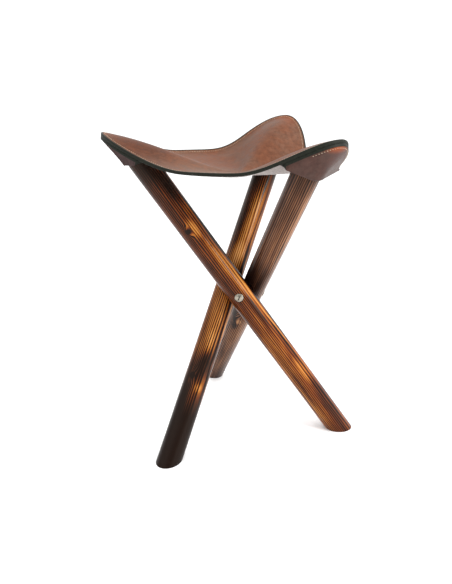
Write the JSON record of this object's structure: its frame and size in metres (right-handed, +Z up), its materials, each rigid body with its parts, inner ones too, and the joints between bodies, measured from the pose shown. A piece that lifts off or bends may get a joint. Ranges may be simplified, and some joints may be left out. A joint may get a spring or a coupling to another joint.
{
  "type": "folding stool",
  "caption": "Folding camp stool: round wooden legs crossing at a three-way pivot carry a leather sling seat whose corners are pockets over the leg tops.",
  "frame": {"origin": "on the floor, under the middle of the overall box", "axes": "+Z up; -Y towards the viewer of the picture, +X to the right in it; the front leg runs from its foot at +X to its top at -X"},
  "size_m": [0.3452, 0.3144, 0.4565],
  "materials": {
    "wood": "scorched pine under glossy varnish",
    "steel": "plated, satin",
    "leather": "chestnut brown, satin",
    "thread": "waxed cream thread"
  },
  "bodies": {
    "pivot": {"front_screw": "steel", "eye_sleeve": "steel", "cross_screw": "steel", "barrel_nut": "steel", "left_eye_washer": "steel", "right_eye_washer": "steel"},
    "front_leg": {"front_leg": "wood"},
    "left_leg": {"left_leg": "wood"},
    "right_leg": {"right_leg": "wood"},
    "seat": {"seat_panel": "leather", "front_pocket": "leather", "left_pocket": "leather", "right_pocket": "leather", "seat_stitching": "thread"}
  },
  "joints": [
    {"name": "front_leg_fold", "type": "hinge", "parent": "pivot", "child": "front_leg", "pos_m": [0.00189, -0.0015, 0.21988], "axis": [0.0079, 0.9989, 0.0469], "range_deg": [0, 54]},
    {"name": "left_leg_fold", "type": "hinge", "parent": "pivot", "child": "left_leg", "pos_m": [0.00189, -0.0015, 0.21988], "axis": [0.9444, 0.0079, -0.3287], "range_deg": [0, 28.81]},
    {"name": "right_leg_fold", "type": "hinge", "parent": "pivot", "child": "right_leg", "pos_m": [0.00189, -0.0015, 0.21988], "axis": [-0.9444, -0.0079, 0.3287], "range_deg": [0, 28.81]},
    {"name": "seat_lift", "type": "slide", "parent": "pivot", "child": "seat", "axis": [0.3287, -0.0469, 0.9433], "range_m": [0, 0.2187]}
  ],
  "couplings": [
    {"joint": "left_leg_fold", "follows": "front_leg_fold", "ratio": 0.53333},
    {"joint": "right_leg_fold", "follows": "front_leg_fold", "ratio": 0.53333},
    {"joint": "seat_lift", "follows": "front_leg_fold", "m_per_rad": 0.232}
  ]
}
